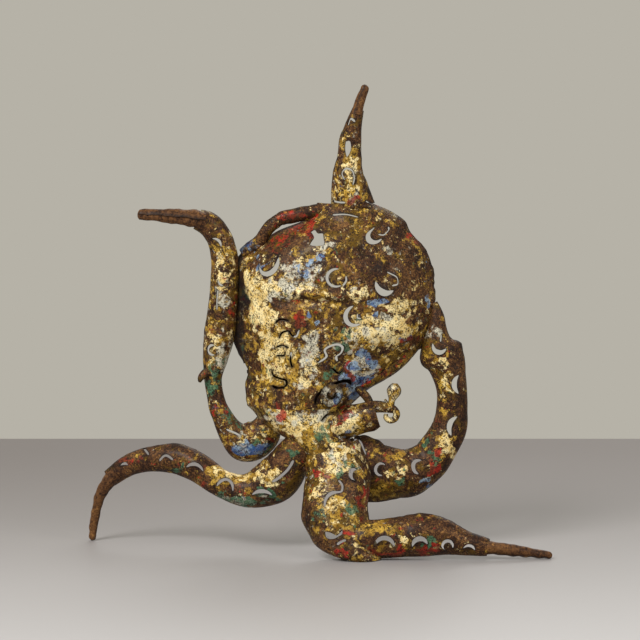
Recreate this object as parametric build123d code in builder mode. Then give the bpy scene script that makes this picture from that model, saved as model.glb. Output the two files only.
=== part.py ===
"""Octopus sculpture in hammered and chisel-cut sheet steel, standing on three points.

Every piece is a sheet hammered into a half-round trough that is open at the back, apart from the
arm tips, which are rolled closed.  The pieces are joined by short weld beads.  Millimetres, +Z up,
viewer on the -Y side, origin on the ground under the centre of the whole sculpture.
"""
from build123d import *
import math
import os

# Driving dimensions
SHEET = 1.5            # wall of every hammered sheet
TIP_BORE = 0.55        # bore of a rolled tip, as a share of its outside
EYE_RADIUS = 13.0
EYE_SHEET = 1.8
SLOT = 2.6             # width of a chisel cut

# Stations of each trough: x, y of the open back, z, half width, depth towards the viewer
MANTLE = [
    (27, 12, 349, 36, 15),
    (31, 13, 343, 43, 21),
    (33, 13, 334, 50, 26),
    (23, 14, 322, 67.5, 36),
    (20, 14, 309, 81.5, 43),
    (15, 14, 291, 96, 48),
    (15.5, 14, 262, 98.5, 50),
    (14, 14, 234, 98.5, 49),
    (11.5, 14, 213, 94.5, 47),
    (7.5, 14, 195, 84.5, 42),
    (0, 13, 177, 71.5, 38),
    (-12.5, 12, 163, 60, 35.5),
    (-21, 11, 147, 49.5, 33),
]
SHOULDER_STRAP = [
    (-73, 11, 305, 4.5, 4),
    (-64, 10, 314, 6, 5),
    (-55, 8.5, 326, 6.5, 6),
    (-41, 7, 334, 6.5, 6),
    (-27, 6, 338, 6.5, 6),
    (-16, 5, 342, 5.5, 5),
]
HEAD = [
    (-20, 11, 145, 46, 33),
    (-18, 9, 134, 41, 32),
    (-11, 6, 122, 34, 30),
    (3, 3, 112, 30, 28),
]
TOP_ARM = [
    (32, 11, 350, 19, 15),
    (30.5, 9, 364, 19, 15),
    (28.5, 6, 379, 16, 13),
    (29, 4, 396, 12, 10),
    (30.5, 2, 417, 10.5, 9),
    (34.5, 0, 435, 7.5, 7),
    (37.5, -1, 446, 5.5, 5),
]
UPPER_LEFT_ARM = [
    (-54, 19, 127, 15, 12),
    (-62, 19, 113.5, 18, 14),
    (-77, 18, 107, 18.5, 15),
    (-91, 17, 118, 14.5, 14),
    (-101.5, 16, 135, 10.5, 11),
    (-106.5, 15, 154, 8.5, 9),
    (-108, 15, 172, 8.5, 9),
    (-105.5, 15, 194, 12, 11),
    (-102, 14, 215, 14.5, 13),
    (-98.5, 13, 240, 14.5, 13),
    (-96.5, 12, 270, 14, 13),
    (-97, 10, 301, 13.5, 12),
    (-104, 8, 321, 12.5, 11),
    (-118, 6, 333, 10.5, 9),
]
LOWER_LEFT_ARM = [
    (-27, 2, 93, 20, 17),
    (-46, 5, 73, 21.5, 17),
    (-74, 10, 62, 18, 16),
    (-100, 16, 68.5, 15.5, 15),
    (-122, 22, 82, 15.5, 14),
    (-142, 29, 89.5, 15.5, 13),
    (-166, 38, 90.5, 13, 12),
    (-191, 48, 83, 11.5, 10),
    (-208, 54.5, 70, 9, 8),
]
FRONT_LEG = [
    (6, 3, 110, 30, 28),
    (13, -5, 97, 31, 27),
    (18, -13, 82, 32.5, 26),
    (17, -21, 66, 32.5, 26),
    (14, -28, 51, 33, 25),
    (15, -34, 38, 33.5, 25),
    (21, -39, 24, 30.5, 25),
    (28, -42, 10, 27.5, 24),
    (33, -44, -4, 24, 23),
]
FOOT_ARM = [
    (54, -42, 22, 20, 20),
    (66, -42, 22, 20, 20),
    (82, -43, 23, 20, 19),
    (104, -44, 24, 20, 18),
    (123, -45, 22.5, 17.5, 15),
    (144, -45, 17, 12.5, 12),
    (162, -45.5, 12.5, 8.5, 9),
]
RIGHT_LOOP_ARM = [
    (115, 12, 240, 4.5, 5),
    (117.5, 12.5, 222, 11, 10),
    (121.5, 13.5, 203, 18, 14),
    (129, 14.5, 180, 16, 14.5),
    (132, 15.5, 160, 14.5, 14),
    (132, 16, 142, 14.5, 14.5),
    (129.5, 16, 123, 17, 15),
    (122, 16, 103.5, 19, 16),
    (108, 15, 87, 22, 16),
    (92, 12, 79.5, 24, 16),
    (70, 8, 78, 27, 16),
    (48, 5, 80, 29, 16),
]
SIPHON = [
    (27, -1, 129, 14.5, 14),
    (41, -4, 133, 15, 14),
    (55, -6, 138, 14, 13),
]
REAR_HUB = [
    (-25, 17, 240, 45, -15),
    (-18, 17, 200, 50, -17),
    (-17, 16, 160, 44, -16),
    (-8, 12, 130, 31, -14),
    (2, 7, 112, 28, -12),
]

# Stations of each rolled tip: x, y, z, radius
TOP_TIP = [(38, -4, 448, 4.6), (42, -5, 458.5, 4.4), (45, -6, 466.5, 4.2), (46.5, -6, 471.5, 2.8)]
UPPER_LEFT_TIP = [(-121, 1, 334.5, 8.6), (-134, 0, 337, 8.0), (-156, -2, 340, 6.4), (-181, -3, 341, 4.4)]
LOWER_LEFT_TIP = [
    (-210, 50.5, 67.5, 7),
    (-218.5, 55, 52, 5.6),
    (-225, 59.5, 32, 4.6),
    (-228, 63, 10, 3.4),
    (-229, 64, -2, 2.8),
]
FOOT_TIP = [(164, -49, 12.5, 6.6), (184, -48, 10, 5.8), (206, -46, 7, 4.8), (231, -44, 3, 3)]

# Rims that are turned back, as lines in the XZ plane
LEFT_RIM = [(-66, 303), (-78.5, 289), (-80.5, 262), (-80.5, 234), (-79, 211), (-72, 192)]
LOWER_RIGHT_RIM = [(103, 208), (88, 192), (69, 177.5), (50, 167), (38, 159)]

# Chisel cuts that raise the suckers: x, z, radius, first angle, sweep
MANTLE_CUTS = [
    (-52, 295, 9, 170, 190),
    (-3, 321, 7, 160, 200),
    (55, 323, 9, 150, 230),
    (13, 282, 9, 20, 250),
    (65, 274, 10, 150, 220),
    (31, 242, 9, 90, 240),
    (12, 208, 6, -150, 260),
    (-39, 236, 5, 0, 170),
    (-32, 222, 5, 0, 200),
    (-37, 205, 5, 30, 170),
    (-41, 177, 6, -110, 200),
]
UPPER_LEFT_CUTS = [(-104, 314, 6, 20, 140), (-100, 277, 4, 0, 180), (-109, 206, 4, 90, 180)]
LOWER_LEFT_CUTS = [
    (-156, 84, 7, 20, 140),
    (-128, 76, 8, 20, 140),
    (-95, 62, 7, 90, 200),
    (-60, 60, 9, 200, 130),
]
LEG_CUTS = [(33, 84, 6, 100, 200), (14, 62, 9, 180, 180), (15, 26, 7, 10, 190)]
FOOT_CUTS = [(64, 17, 9, 20, 140), (99, 20, 8, 20, 140), (126, 18, 5, 60, 240)]
LOOP_CUTS = [
    (122, 206, 7, 180, 160),
    (132, 168, 8, 100, 180),
    (130, 124, 8, 150, 180),
    (97, 84, 7, 20, 180),
    (62, 80, 7, 100, 200),
]
TOP_CUTS = [(28, 384, 6, 0, 200), (29, 410, 4, 30, 120), (31, 430, 3, 30, 120)]


def headings(stations):
    """Unit directions of travel in the XZ plane, one for each station."""
    last = len(stations) - 1
    directions = []
    for index in range(len(stations)):
        before = stations[max(index - 1, 0)]
        after = stations[min(index + 1, last)]
        run, rise = after[0] - before[0], after[2] - before[2]
        length = math.hypot(run, rise)
        directions.append((run / length, rise / length))
    return directions


def trough_section(station, heading, wall):
    """Arc-shaped band across the direction of travel, hollow side to the back."""
    x, y, z, half_width, depth = station
    run, rise = heading
    side = math.copysign(1, depth)
    depth = abs(depth)
    radius = (half_width**2 + depth**2) / (2 * depth)
    inner_half_width = math.sqrt((radius - wall) ** 2 - (radius - depth) ** 2)
    plane = Plane(origin=(x, y, z), x_dir=(-rise, 0, run), z_dir=(run, 0, rise))
    with BuildSketch(plane, mode=Mode.PRIVATE) as section:
        with BuildLine():
            ThreePointArc((-half_width, 0), (0, side * depth), (half_width, 0))
            Line((half_width, 0), (inner_half_width, 0))
            ThreePointArc((inner_half_width, 0), (0, side * (depth - wall)), (-inner_half_width, 0))
            Line((-inner_half_width, 0), (-half_width, 0))
        make_face()
    return section.sketch


def trough(stations, wall=SHEET, level=False):
    """Hammered half-round trough through its stations, with level sections if asked for."""
    directions = [(0, -1)] * len(stations) if level else headings(stations)
    pairs = zip(stations, directions)
    loft(sections=[trough_section(station, heading, wall) for station, heading in pairs])


def chisel(cuts):
    """Curved slots right through the sheet."""
    with BuildSketch(Plane.XZ) as slots:
        for x, z, radius, first, sweep in cuts:
            with BuildLine(mode=Mode.PRIVATE):
                arc = CenterArc((x, z), radius, first, sweep)
            SlotArc(arc, SLOT)
    extrude(slots.sketch, amount=80, both=True, mode=Mode.SUBTRACT)


def round_section(station, heading, scale):
    x, y, z, radius = station
    run, rise = heading
    with BuildSketch(Plane(origin=(x, y, z), x_dir=(-rise, 0, run), z_dir=(run, 0, rise)),
                     mode=Mode.PRIVATE) as section:
        Circle(radius * scale)
    return section.sketch


def rolled_tip(stations):
    """Sheet rolled closed to a tapering tube, solid for its last run."""
    pairs = list(zip(stations, headings(stations)))
    loft(sections=[round_section(station, heading, 1.0) for station, heading in pairs])
    bore = [round_section(station, heading, TIP_BORE) for station, heading in pairs[:-1]]
    loft(sections=bore, mode=Mode.SUBTRACT)


def rest_on_ground():
    """Grind the piece flat where it meets the ground."""
    split(bisect_by=Plane.XY, keep=Keep.TOP)


def turned_rim(points, back, width, wall=SHEET):
    """Strip of sheet on edge that follows a rim, from its back edge towards the viewer."""
    with BuildSketch(Plane.XZ.offset(-back)) as strip:
        with BuildLine() as line:
            Spline(*points)
        trace(line.line, wall)
    extrude(strip.sketch, amount=width)


def beads(places, radius):
    """Weld beads in the gap between two pieces, fused a little way into both."""
    with Locations(*places):
        Sphere(radius)


with BuildPart() as mantle_front_shell:
    trough(MANTLE, level=True)
    chisel(MANTLE_CUTS)
mantle_front_shell.part.label = "mantle_front_shell"

with BuildPart() as mantle_side_wall:
    turned_rim(LEFT_RIM, back=28, width=12)
mantle_side_wall.part.label = "mantle_side_wall"

with BuildPart() as mantle_lower_fold:
    turned_rim(LOWER_RIGHT_RIM, back=27, width=11)
mantle_lower_fold.part.label = "mantle_lower_fold"

with BuildPart() as shoulder_strap:
    trough(SHOULDER_STRAP)
shoulder_strap.part.label = "shoulder_strap"

with BuildPart() as head_face_plate:
    trough(HEAD, level=True)
head_face_plate.part.label = "head_face_plate"

eye_plane = Plane(origin=(11, -24.5, 162), x_dir=(0.92, 0.39, 0), z_dir=(0.39, -0.92, 0))
with BuildPart() as eye_disc:
    with BuildSketch(eye_plane):
        Circle(EYE_RADIUS)
        with Locations((0, -1)):
            SlotOverall(9, 3, rotation=90, mode=Mode.SUBTRACT)
    extrude(amount=EYE_SHEET)
eye_disc.part.label = "eye_disc"

with BuildPart() as siphon_tube:
    trough(SIPHON)
siphon_tube.part.label = "siphon_tube"

with BuildPart() as forked_curl:
    with BuildSketch(Plane.XZ.offset(8)):
        with BuildLine() as stem:
            Line((53, 149), (71, 147))
        trace(stem.line, 10)
        with BuildLine() as neck:
            Spline((70, 146), (71.5, 154), (73.5, 162))
        trace(neck.line, 6)
        with Locations((73.5, 165)):
            Circle(6.5)
        with BuildLine() as hook:
            CenterArc((69.5, 141), 5.5, 70, -230)
        trace(hook.line, 4.5)
    extrude(amount=2)
forked_curl.part.label = "forked_curl"

with BuildPart() as top_arm:
    trough(TOP_ARM)
    chisel(TOP_CUTS)
top_arm.part.label = "top_arm"

with BuildPart() as top_arm_tip:
    rolled_tip(TOP_TIP)
top_arm_tip.part.label = "top_arm_tip"

with BuildPart() as upper_left_arm:
    trough(UPPER_LEFT_ARM)
    chisel(UPPER_LEFT_CUTS)
upper_left_arm.part.label = "upper_left_arm"

with BuildPart() as upper_left_arm_tip:
    rolled_tip(UPPER_LEFT_TIP)
upper_left_arm_tip.part.label = "upper_left_arm_tip"

with BuildPart() as lower_left_arm:
    trough(LOWER_LEFT_ARM)
    chisel(LOWER_LEFT_CUTS)
lower_left_arm.part.label = "lower_left_arm"

with BuildPart() as lower_left_arm_tip:
    rolled_tip(LOWER_LEFT_TIP)
    rest_on_ground()
lower_left_arm_tip.part.label = "lower_left_arm_tip"

with BuildPart() as front_leg:
    trough(FRONT_LEG, level=True)
    rest_on_ground()
    chisel(LEG_CUTS)
front_leg.part.label = "front_leg"

with BuildPart() as foot_arm:
    trough(FOOT_ARM)
    chisel(FOOT_CUTS)
foot_arm.part.label = "foot_arm"

with BuildPart() as foot_arm_tip:
    rolled_tip(FOOT_TIP)
foot_arm_tip.part.label = "foot_arm_tip"

with BuildPart() as right_loop_arm:
    trough(RIGHT_LOOP_ARM)
    chisel(LOOP_CUTS)
right_loop_arm.part.label = "right_loop_arm"

with BuildPart() as rear_hub_plate:
    trough(REAR_HUB, level=True)
rear_hub_plate.part.label = "rear_hub_plate"

# One group of weld beads for each joint: name, bead radius, bead centres
WELDS = [
    ("weld_top_arm", 2.5, [(20, -1, 349), (32, -4.5, 349), (44, -1, 349)]),
    ("weld_top_arm_tip", 2.5, [(37.8, -5.5, 447)]),
    ("weld_shoulder_strap", 2.5, [(-68, 10, 305), (-13, 7, 339)]),
    ("weld_side_wall", 2, [(-80, 15, 280), (-81, 15, 250), (-80.5, 15, 220)]),
    ("weld_lower_fold", 2, [(99, 15, 204), (88, 15, 192), (69, 14.5, 177.5)]),
    ("weld_head", 2.5, [(-51, -11.6, 146), (-21, -21.3, 146), (9, -11.6, 146)]),
    ("weld_eye", 3, [(10, -21.5, 162)]),
    ("weld_siphon", 3.5, [(25.5, 0, 143), (27.5, 0, 116.5)]),
    ("weld_forked_curl", 2.5, [(51.5, -7.5, 149.5)]),
    ("weld_upper_left_arm", 3, [(-57, 8, 130)]),
    ("weld_upper_left_tip", 2.5, [(-119.5, -1, 334)]),
    ("weld_lower_left_arm", 3.5, [(-16, -11.5, 86), (-15, -8, 94)]),
    ("weld_lower_left_tip", 2.5, [(-209, 48, 68.5)]),
    ("weld_front_leg", 3, [(-15, -17, 111), (5, -24, 111), (25, -17, 111)]),
    ("weld_foot_arm", 3.5, [(52, -40.5, 38.5), (52, -42.5, 4)]),
    ("weld_foot_tip", 2.5, [(163, -51, 9), (163, -47, 17.5)]),
    ("weld_loop_top", 3.2, [(109, 13, 222), (111, 12, 236)]),
    ("weld_loop_base", 3, [(49, -13.5, 78)]),
    ("weld_rear_hub", 4, [(-67, 15, 177), (28, 13, 150), (22, 11, 134), (31.5, 6, 111.5)]),
]

pieces = [
    mantle_front_shell, mantle_side_wall, mantle_lower_fold, shoulder_strap, head_face_plate,
    eye_disc, siphon_tube, forked_curl, top_arm, top_arm_tip, upper_left_arm, upper_left_arm_tip,
    lower_left_arm, lower_left_arm_tip, front_leg, foot_arm, foot_arm_tip, right_loop_arm,
    rear_hub_plate,
]

for name, radius, centres in WELDS:
    with BuildPart() as weld:
        beads(centres, radius)
    weld.part.label = name
    pieces.append(weld)

os.makedirs("parts", exist_ok=True)
for piece in pieces:
    export_step(piece.part, f"parts/{piece.part.label}.step")
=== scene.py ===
"""Octopus sculpture in hammered, chisel-cut and painted sheet steel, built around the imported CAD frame."""
import math

import bpy
import numpy as np
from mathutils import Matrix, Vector
from mathutils.geometry import delaunay_2d_cdt


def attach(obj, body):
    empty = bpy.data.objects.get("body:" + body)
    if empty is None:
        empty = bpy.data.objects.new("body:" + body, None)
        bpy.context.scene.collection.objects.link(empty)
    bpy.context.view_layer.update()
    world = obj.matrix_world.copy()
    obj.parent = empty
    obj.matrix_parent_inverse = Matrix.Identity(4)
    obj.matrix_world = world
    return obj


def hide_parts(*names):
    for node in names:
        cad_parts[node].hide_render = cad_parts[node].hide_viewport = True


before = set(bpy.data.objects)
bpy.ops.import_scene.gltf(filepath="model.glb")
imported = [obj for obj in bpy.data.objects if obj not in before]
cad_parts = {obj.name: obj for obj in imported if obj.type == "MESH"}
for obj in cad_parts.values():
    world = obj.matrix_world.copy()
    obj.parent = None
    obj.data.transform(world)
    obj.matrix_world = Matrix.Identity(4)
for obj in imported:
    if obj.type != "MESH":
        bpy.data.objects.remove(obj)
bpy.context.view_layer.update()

MM = 0.001                              # the lists below are in millimetres
SHEET = 1.3                             # wall of the hammered sheet
STEP = 1.9       # spacing of a sheet's mesh points
CUT_STEP = 1.2                          # spacing of the points along a cut
END_FADE = 8.0                          # the hammer marks fade out over this length at a sheet's ends


# ---- noise and curves

def field(points, seed, wavelength, count=28):
    """Smooth noise at the points, mostly between -1 and 1: a sum of plane waves of about this length."""
    rng = np.random.default_rng(seed)
    directions = rng.normal(size=(count, 3))
    directions /= np.linalg.norm(directions, axis=1)[:, None]
    lengths = wavelength * rng.uniform(0.7, 1.5, count)
    phases = rng.uniform(0, 2 * math.pi, count)
    turns = points @ (directions * (2 * math.pi / lengths)[:, None]).T
    return np.sin(turns + phases).sum(axis=1) / math.sqrt(count) * 1.1


def smoothstep(low, high, value):
    t = np.clip((value - low) / (high - low), 0, 1)
    return t * t * (3 - 2 * t)


def arc_length(points):
    """Distance of each point along their line."""
    return np.concatenate([[0], np.cumsum(np.linalg.norm(np.diff(points, axis=0), axis=1))])


def spline(chord, rows, at):
    """Curve through the rows, with slopes taken from the neighbours."""
    slopes = np.gradient(rows, chord, axis=0)
    index = np.clip(np.searchsorted(chord, at, side="right") - 1, 0, len(chord) - 2)
    gap = chord[index + 1] - chord[index]
    t = ((at - chord[index]) / gap)[:, None]
    gap = gap[:, None]
    return ((2 * t**3 - 3 * t**2 + 1) * rows[index] + (t**3 - 2 * t**2 + t) * gap * slopes[index]
            + (3 * t**2 - 2 * t**3) * rows[index + 1] + (t**3 - t**2) * gap * slopes[index + 1])


def rounded(corners):
    """Smooth open curve through the corners."""
    chord = arc_length(corners)
    return spline(chord, corners, np.linspace(0, chord[-1], max(int(chord[-1] / CUT_STEP), 4)))


# ---- troughs

class Trough:
    """Half-round sheet through given stations (x, y of the open back, z, half width, depth).

    A negative depth bulges to the back. A level trough's sections are all horizontal, and its length
    is measured straight down. A point on it is (along, across): millimetres along the middle line
    and round the section."""

    def __init__(self, stations, level=False):
        nodes = np.array(stations, float)
        chord = arc_length(nodes[:, :3])
        data = spline(chord, nodes, np.linspace(0, chord[-1], max(int(chord[-1]), 12)))
        if level:
            self.along = data[0, 2] - data[:, 2]
            run, rise = np.zeros(len(data)), -np.ones(len(data))
        else:
            self.along = arc_length(data[:, :3])
            run, rise = np.gradient(data[:, 0]), np.gradient(data[:, 2])
            size = np.hypot(run, rise)
            run, rise = run / size, rise / size
        self.length = self.along[-1]
        self.columns = [*data.T, run, rise]

    def at(self, along):
        """x, y, z, half width and depth, with the section's radius and the heading in x and z."""
        x, y, z, half, depth, run, rise = (np.interp(along, self.along, column) for column in self.columns)
        radius = (half**2 + depth**2) / (2 * np.abs(depth))
        size = np.hypot(run, rise)
        return x, y, z, half, depth, radius, run / size, rise / size

    def half_arc(self, along):
        """Half of the section's length."""
        half, depth, radius = self.at(along)[3:6]
        return radius * np.arctan2(half, radius - np.abs(depth))

    def place(self, along, across):
        """Points and outward normals."""
        x, y, z, _, depth, radius, run, rise = self.at(along)
        forward, depth = np.sign(depth), np.abs(depth)
        angle = across / radius
        side, front = np.sin(angle), np.cos(angle)
        points = np.stack([x - rise * radius * side, y - forward * (depth - radius + radius * front),
                           z + run * radius * side], axis=1)
        normals = np.stack([-rise * side, -forward * front, run * side], axis=1)
        return points, normals

    def find(self, x, z):
        """(along, across) of the front point seen at x, z, and the heading there."""
        along, share = np.meshgrid(np.linspace(0, self.length, 240), np.linspace(-0.95, 0.95, 61))
        along, share = along.ravel(), share.ravel()
        across = share * self.half_arc(along)
        points = self.place(along, across)[0]
        best = np.argmin(np.hypot(points[:, 0] - x, points[:, 2] - z))
        run, rise = (float(v[0]) for v in self.at(along[best:best + 1])[6:])
        return along[best], across[best], run, rise


# ---- chisel cuts

class Cut:
    """A curved chisel cut round a tongue of sheet, drawn as seen from the front.

    facing is the direction of the widest part of the opening, in degrees from +X towards +Z, and
    sweep is the angle that the cut goes round. gap is the opening's width there, lift is how far the
    tongue's tip is bent out, and stretch makes the cut longer than it is deep."""

    def __init__(self, x, z, radius, facing, sweep, gap, lift, stretch=1.0):
        self.x, self.z, self.radius, self.facing = x, z, radius, math.radians(facing)
        self.half, self.gap, self.lift, self.stretch = math.radians(sweep) / 2, gap, lift, stretch

    def seat(self, trough):
        """Settles where the cut lies on its sheet, and its own two directions there."""
        along, across, run, rise = trough.find(self.x, self.z)
        cos, sin = math.cos(self.facing), math.sin(self.facing)
        self.middle = np.array([along, across])
        self.out = np.array([cos * run + sin * rise, sin * run - cos * rise])
        self.side = np.array([cos * rise - sin * run, sin * rise + cos * run])

    def outline(self):
        """Opening between the outer cut and the tongue's edge, in sheet coordinates."""
        count = max(int(self.radius * 2 * self.half / CUT_STEP), 8)
        turn = np.linspace(-self.half, self.half, count)
        taper = np.cos(turn / self.half * math.pi / 2) ** 0.55
        outer = np.full(count, self.radius)
        inner = outer - self.gap * taper - 0.5
        radius = np.concatenate([outer, inner[::-1]])
        turn = np.concatenate([turn, turn[::-1]])
        out, side = radius * np.cos(turn), radius * np.sin(turn) * self.stretch
        return self.middle + out[:, None] * self.out + side[:, None] * self.side

    def bend(self, flat):
        """Lift of the tongue at sheet points."""
        out = (flat - self.middle) @ self.out
        side = (flat - self.middle) @ self.side / self.stretch
        hinge = self.radius * math.cos(self.half)
        share = np.clip((out - hinge) / (self.radius - hinge), 0, 1)
        return np.where(np.hypot(out, side) < self.radius - 0.2, self.lift * share**1.3, 0.0)


class Slit:
    """A narrow open chisel line through points seen from the front, as wide as given."""

    def __init__(self, points, width=2.0):
        self.points, self.width = points, width

    def seat(self, trough):
        self.flat = np.array([trough.find(x, z)[:2] for x, z in self.points])

    def outline(self):
        line = rounded(self.flat)
        tangent = np.gradient(line, axis=0)
        tangent /= np.linalg.norm(tangent, axis=1)[:, None]
        normal = np.stack([-tangent[:, 1], tangent[:, 0]], axis=1)
        along = np.linspace(-1, 1, len(line))
        taper = self.width / 2 * np.clip((1 - np.abs(along)) * 8, 0.2, 1) ** 0.5
        return np.concatenate([line + normal * taper[:, None], (line - normal * taper[:, None])[::-1]])

    def bend(self, flat):
        return np.zeros(len(flat))


class Opening(Slit):
    """A hole right through the sheet, whose corners are given as seen from the front."""

    def __init__(self, points):
        self.points = points

    def outline(self):
        return rounded(np.concatenate([self.flat, self.flat[:1]]))[:-1]


def inside(points, polygon):
    """Whether each point lies in the polygon."""
    x, y = points[:, 0], points[:, 1]
    hit = np.zeros(len(points), bool)
    for (ax, ay), (bx, by) in zip(polygon, np.roll(polygon, -1, axis=0)):
        if ay == by:
            continue
        crosses = (ay > y) != (by > y)
        hit ^= crosses & (x < (bx - ax) * (y - ay) / (by - ay) + ax)
    return hit


def edge_distance(points, polygon):
    """Distance from each point to the polygon's corners, which are close together."""
    gap = np.full(len(points), 1e9)
    for corner in polygon:
        gap = np.minimum(gap, np.hypot(points[:, 0] - corner[0], points[:, 1] - corner[1]))
    return gap


def resample(polygon, spacing):
    """Corners added so that no side is longer than the spacing."""
    rows = []
    for a, b in zip(polygon, np.roll(polygon, -1, axis=0)):
        count = max(int(np.linalg.norm(b - a) / spacing), 1)
        rows += [a + (b - a) * k / count for k in range(count)]
    return np.array(rows)


# ---- meshes

def vertex_normals(points, faces):
    a, b, c = (points[faces[:, k]] for k in range(3))
    face = np.cross(b - a, c - a)
    total = np.zeros_like(points)
    for k in range(3):
        np.add.at(total, faces[:, k], face)
    return total / np.maximum(np.linalg.norm(total, axis=1), 1e-9)[:, None]


def turned_out(points, faces, sample, outward):
    """The faces, all turned round if the sample face doesn't look outward."""
    a, b, c = points[sample]
    return faces[:, ::-1] if np.cross(b - a, c - a) @ outward < 0 else faces


def thicken(points, faces, thickness):
    """Closed mesh: the sheet, its back and the walls along every free edge."""
    normals = vertex_normals(points, faces)
    count = len(points)
    both = np.concatenate([points + normals * thickness / 2, points - normals * thickness / 2])
    sides = {}
    for face in faces:
        for a, b in ((face[0], face[1]), (face[1], face[2]), (face[2], face[0])):
            if (b, a) in sides:
                del sides[(b, a)]
            else:
                sides[(a, b)] = True
    walls = [(b, a, a + count, b + count) for a, b in sides]
    return both, [tuple(f) for f in faces] + [tuple(f[::-1] + count) for f in faces] + walls


def add_object(name, data):
    """Object for the data, linked into the scene."""
    made = bpy.data.objects.new(name, data)
    bpy.context.scene.collection.objects.link(made)
    return made


def make_object(name, parts, material):
    """One mesh object from (points in millimetres, polygons, shares of the coats and of the painted shade) of
    its parts.
    """
    start, points, polygons, shares = 0, [], [], []
    for part_points, part_polygons, part_shares in parts:
        polygons += [tuple(int(v) + start for v in polygon) for polygon in part_polygons]
        points.append(part_points)
        shares.append(part_shares)
        start += len(part_points)
    mesh = bpy.data.meshes.new(name)
    mesh.from_pydata((np.concatenate(points) * MM).tolist(), [], polygons)
    shares = np.concatenate(shares)
    for layer, columns in (("coats_a", shares[:, :4]), ("coats_b_and_shade", shares[:, 4:])):
        attribute = mesh.color_attributes.new(layer, "FLOAT_COLOR", "POINT")
        attribute.data.foreach_set("color", np.ascontiguousarray(columns, dtype=np.float32).ravel())
    mesh.validate()
    mesh.shade_smooth()
    mesh.set_sharp_from_angle(angle=math.radians(50))
    mesh.materials.append(material)
    return add_object(name, mesh)


SMALL_PITCH, LARGE_PITCH = 9.0, 24.0     # about a small and a large hammer mark's width


def hammered(flat, seed, small, large):
    """Depth of the small and large hammer marks at each point, inwards."""
    rng = np.random.default_rng(seed)
    depth = np.zeros(len(flat))
    low, high = flat.min(axis=0), flat.max(axis=0)
    for pitch, amount in ((SMALL_PITCH, small), (LARGE_PITCH, large)):
        count = int((high[0] - low[0]) * (high[1] - low[1]) / pitch**2)
        centres = rng.uniform(low, high, (max(count, 1), 2))
        sizes = pitch * rng.uniform(0.55, 1.0, len(centres))
        depths = amount * rng.uniform(0.4, 1.0, len(centres))
        for centre, size, deep in zip(centres, sizes, depths):
            gap = np.hypot(flat[:, 0] - centre[0], flat[:, 1] - centre[1]) / size
            depth += np.where(gap < 1, deep * (1 - gap**2) ** 2, 0)
    return depth - depth.mean()


# ---- coats of paint, and painted shade

COATS_AND_SHADE = ("gold", "cream", "white", "green", "blue", "red", "olive", "shade")
PAINTS = COATS_AND_SHADE[:-1]         # shade is no paint: it is painted shade in folds, along edges and in deep cuts
BARE_TAKES = 0.62           # what a bare patch takes from every paint
BACK_KEEPS = 0.62           # what a sheet's back has of its front's paint
RIM_DARK, RIM_REACH = 0.75, 4.0     # painted shade along a sheet's rim, and how far in it goes
CUT_DARK, CUT_REACH = 0.62, 2.1     # the same along a cut


def coat_and_shade_shares(points, base, patches, seed):
    """Share of each coat, and of the painted shade, at each point, before the paint chips.

    Patches give, for each coat, for the painted shade and for bare metal, rows of (x, z, reach in x, reach in
    z, strength).
    Noise of 24 and 8 mm makes their outlines ragged, and noise of 15 and 6 mm makes every coat uneven."""
    x = points[:, 0] + 4 * field(points, seed + 60, 24) + 2 * field(points, seed + 61, 8)
    z = points[:, 2] + 4 * field(points, seed + 62, 24) + 2 * field(points, seed + 63, 8)
    share = {name: np.full(len(points), base.get(name, 0.0)) for name in COATS_AND_SHADE + ("bare",)}
    for name, rows in patches.items():
        for middle_x, middle_z, reach_x, reach_z, strength in rows:
            reach = np.hypot((x - middle_x) / reach_x, (z - middle_z) / reach_z)
            share[name] = np.maximum(share[name], strength * (1 - smoothstep(0.5, 1.25, reach)))
    for number, name in enumerate(PAINTS):
        uneven = 0.17 * field(points, seed + 70 + number, 15) + 0.11 * field(points, seed + 80 + number, 6)
        share[name] = np.clip(share[name] + uneven * (0.35 + np.sqrt(share[name])), 0, 1)
    table = np.stack([share[name] for name in COATS_AND_SHADE], axis=1)
    table[:, :len(PAINTS)] *= (1 - BARE_TAKES * share["bare"])[:, None]
    return table


def edge_shade_and_back(front, rim_gap, hole_gap):
    """Coats of a sheet's front with painted shade along its rims and cuts, then of its more worn back, which
    carries at least a faint painted shade.
    """
    # painted shade darkens the sheet near its rims and its cuts
    edge = RIM_DARK * (1 - smoothstep(0.0, RIM_REACH, rim_gap))
    edge += CUT_DARK * (1 - smoothstep(0.3, CUT_REACH, hole_gap))
    front[:, -1] = np.clip(np.maximum(front[:, -1], edge), 0, 0.9)
    back = front * BACK_KEEPS
    # painted shade: the back is kept at least faintly darkened
    back[:, -1] = np.maximum(0.08, front[:, -1])
    return np.concatenate([front, back])


# ---- sheets and rolled tips

def uneven_rim(along, reach, side, ragged, seed):
    """One long edge of a sheet, in sheet coordinates; side is 1 or -1."""
    line = np.stack([along, np.full(len(along), 50.0 * side), along * 0], axis=1)
    wobble = field(line, seed + side, 17) + 0.5 * field(line, seed + side, 6)
    return np.stack([along, side * (reach + ragged * wobble)], axis=1)


def inner_points(outline, holes, length, most, step, seed):
    """Loose triangular grid of points on a sheet, clear of its outline and of its holes."""
    rows = []
    for row, along in enumerate(np.arange(0, length, step * 0.866)):
        across = np.arange(-most, most, step) + (row % 2) * step / 2
        rows.append(np.stack([np.full(len(across), along), across], axis=1))
    grid = np.concatenate(rows)
    grid += np.random.default_rng(seed).uniform(-0.18, 0.18, grid.shape) * step
    grid = grid[inside(grid, outline) & (edge_distance(grid, outline) > step * 0.55)]
    for hole in holes:
        near = (np.abs(grid - hole.mean(axis=0)) < np.ptp(hole, axis=0).max() + 5).all(axis=1)
        keep = np.ones(len(grid), bool)
        keep[near] = ~inside(grid[near], hole) & (edge_distance(grid[near], hole) > step * 0.45)
        grid = grid[keep]
    return grid


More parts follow.
